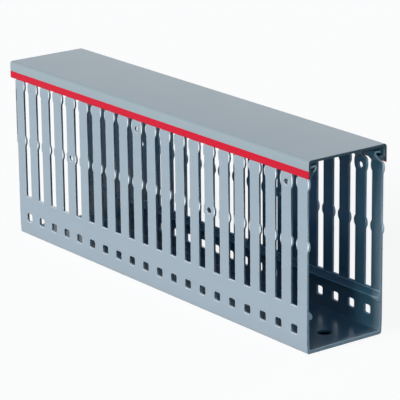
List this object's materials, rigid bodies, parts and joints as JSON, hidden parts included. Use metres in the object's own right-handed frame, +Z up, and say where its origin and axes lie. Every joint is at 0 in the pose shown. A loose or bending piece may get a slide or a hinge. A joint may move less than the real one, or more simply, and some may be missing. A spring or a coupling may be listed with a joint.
{
  "type": "slotted wire duct",
  "caption": "Slotted cable duct with a clip-on cover: a U channel with fingered side walls, hooked finger tips and a banded lid.",
  "frame": {"origin": "middle of the duct body's underside, on the floor it stands on", "axes": "+X along the duct, +Y across it, +Z up towards the cover"},
  "size_m": [0.211, 0.04, 0.08],
  "materials": {
    "grey_pvc": "semi-gloss extruded grey PVC",
    "cover_pvc": "semi-gloss extruded grey PVC",
    "red_band": "red PVC layer of the cover, semi-gloss"
  },
  "bodies": {
    "duct": {"duct_body": "grey_pvc"},
    "cover": {"cover": "cover_pvc", "band_front": "red_band", "band_rear": "red_band"}
  },
  "joints": [
    {"name": "cover_slide", "type": "slide", "parent": "duct", "child": "cover", "axis": [1, 0, 0], "range_m": [-0.205, 0.205]}
  ]
}
